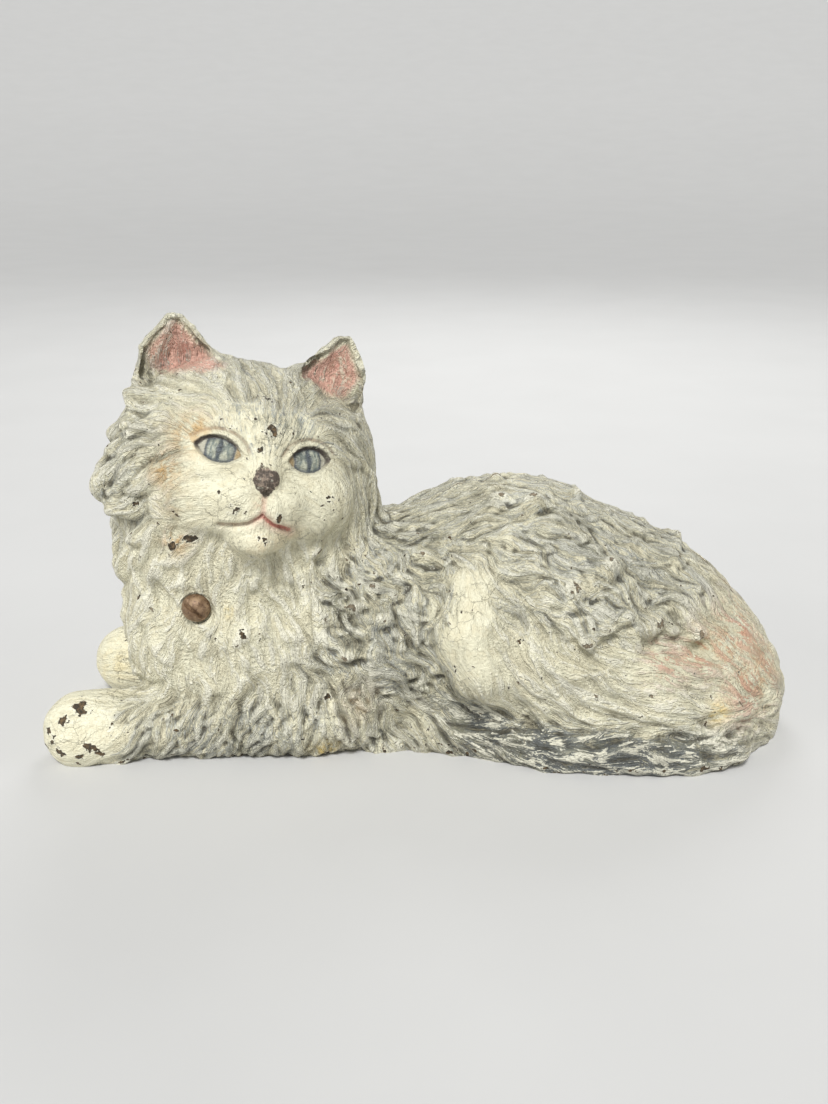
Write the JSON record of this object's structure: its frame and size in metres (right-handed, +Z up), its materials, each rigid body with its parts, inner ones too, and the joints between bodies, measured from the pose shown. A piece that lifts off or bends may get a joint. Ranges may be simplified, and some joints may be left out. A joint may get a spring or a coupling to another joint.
{
  "type": "coin bank",
  "caption": "Hollow two-part cast metal bank in the form of a long-haired cat lying down, held by one slotted screw through the chest.",
  "frame": {"origin": "underside, below the middle of the bank's bounding box", "axes": "+X from the front paws to the rump, +Y from the front casting to the back casting, +Z up"},
  "size_m": [0.2765, 0.1009, 0.1552],
  "materials": {
    "front_paint": "old worn cream, grey and pink paint with chips down to brown iron",
    "back_paint": "old worn grey and cream paint with chips down to brown iron",
    "screw": "rusty brown steel"
  },
  "bodies": {
    "back_casting": {"back_half": "back_paint"},
    "front_casting": {"front_half": "front_paint"},
    "long_screw": {"chest_screw": "screw"}
  },
  "joints": [
    {"name": "front_lift_off", "type": "slide", "parent": "back_casting", "child": "front_casting", "axis": [0, -1, 0], "range_m": [0, 0.13]},
    {"name": "screw_turn", "type": "hinge", "parent": "front_casting", "child": "long_screw", "pos_m": [-0.0789, -0.0355, 0.06], "axis": [0, -1, 0], "continuous": true}
  ]
}
